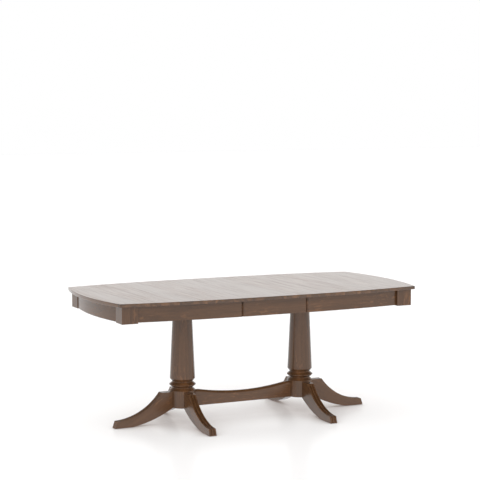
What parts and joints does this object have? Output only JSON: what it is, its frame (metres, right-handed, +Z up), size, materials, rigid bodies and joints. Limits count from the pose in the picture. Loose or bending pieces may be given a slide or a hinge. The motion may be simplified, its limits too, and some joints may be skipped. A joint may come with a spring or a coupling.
{
  "type": "double pedestal dining table",
  "caption": "Boat-shaped extension dining table with its leaf in place, on turned pedestals with reeded sabre legs and a stretcher; geared slides part the halves.",
  "frame": {"origin": "on the floor, under the middle of the table", "axes": "+X along the table, -Y towards the front, +Z up"},
  "size_m": [1.9812, 0.9652, 0.775],
  "materials": {
    "top_wood": "dark brown stain under a satin lacquer, grain across the table",
    "frame_wood": "dark brown stain under a satin lacquer, grain along the aprons and up the posts",
    "turned_wood": "dark brown stain under a satin lacquer, grain along the column",
    "leg_wood": "dark brown stain under a satin lacquer, grain along the leg",
    "hidden_wood": "plain planed hardwood, sealed but not stained",
    "steel": "zinc-plated",
    "brass": "turned, satin",
    "nylon": "moulded, natural colour"
  },
  "bodies": {
    "base": {"left_column": "turned_wood", "right_column": "turned_wood", "left_outer_leg": "leg_wood", "left_front_leg": "leg_wood", "left_back_leg": "leg_wood", "right_outer_leg": "leg_wood", "right_front_leg": "leg_wood", "right_back_leg": "leg_wood", "stretcher": "leg_wood", "left_top_plate": "hidden_wood", "right_top_plate": "hidden_wood", "front_rail": "hidden_wood", "back_rail": "hidden_wood", "pinion_pins": "steel", "slide_stops": "hidden_wood", "leg_bolts": "steel", "leg_nuts": "steel", "leg_washers": "steel", "plate_screws": "steel", "rail_screws": "steel", "foot_glides": "nylon"},
    "left_half": {"left_top": "top_wood", "left_end_apron": "frame_wood", "left_front_apron": "frame_wood", "left_back_apron": "frame_wood", "left_front_post": "frame_wood", "left_back_post": "frame_wood", "left_front_runner": "hidden_wood", "left_back_runner": "hidden_wood", "left_front_rack": "nylon", "left_back_rack": "nylon", "left_apron_dowels": "hidden_wood", "left_glue_blocks": "hidden_wood", "left_block_screws": "steel", "left_runner_screws": "steel", "left_leaf_pins": "brass"},
    "right_half": {"right_top": "top_wood", "right_end_apron": "frame_wood", "right_front_apron": "frame_wood", "right_back_apron": "frame_wood", "right_front_post": "frame_wood", "right_back_post": "frame_wood", "right_front_runner": "hidden_wood", "right_back_runner": "hidden_wood", "right_front_rack": "nylon", "right_back_rack": "nylon", "right_apron_dowels": "hidden_wood", "right_glue_blocks": "hidden_wood", "right_block_screws": "steel", "right_runner_screws": "steel", "right_leaf_pins": "brass"},
    "leaf": {"leaf_top": "top_wood", "leaf_front_apron": "frame_wood", "leaf_back_apron": "frame_wood", "leaf_glue_blocks": "hidden_wood", "leaf_block_screws": "steel"},
    "front_pinion": {"front_pinion": "nylon"},
    "back_pinion": {"back_pinion": "nylon"}
  },
  "joints": [
    {"name": "left_slide", "type": "slide", "parent": "base", "child": "left_half", "axis": [-1, 0, 0], "range_m": [0, 0.045]},
    {"name": "right_slide", "type": "slide", "parent": "base", "child": "right_half", "axis": [1, 0, 0], "range_m": [0, 0.045]},
    {"name": "front_pinion_turn", "type": "hinge", "parent": "base", "child": "front_pinion", "pos_m": [0, -0.17, 0.7413], "axis": [0, 0, -1], "range_deg": [0, 129]},
    {"name": "back_pinion_turn", "type": "hinge", "parent": "base", "child": "back_pinion", "pos_m": [0, 0.17, 0.7413], "axis": [0, 0, -1], "range_deg": [0, 129]},
    {"name": "leaf_lift", "type": "slide", "parent": "base", "child": "leaf", "axis": [0, 0, 1], "range_m": [0, 0.25]}
  ],
  "couplings": [
    {"joint": "right_slide", "follows": "left_slide", "ratio": 1},
    {"joint": "front_pinion_turn", "follows": "left_slide", "rad_per_m": 50},
    {"joint": "back_pinion_turn", "follows": "left_slide", "rad_per_m": 50}
  ]
}
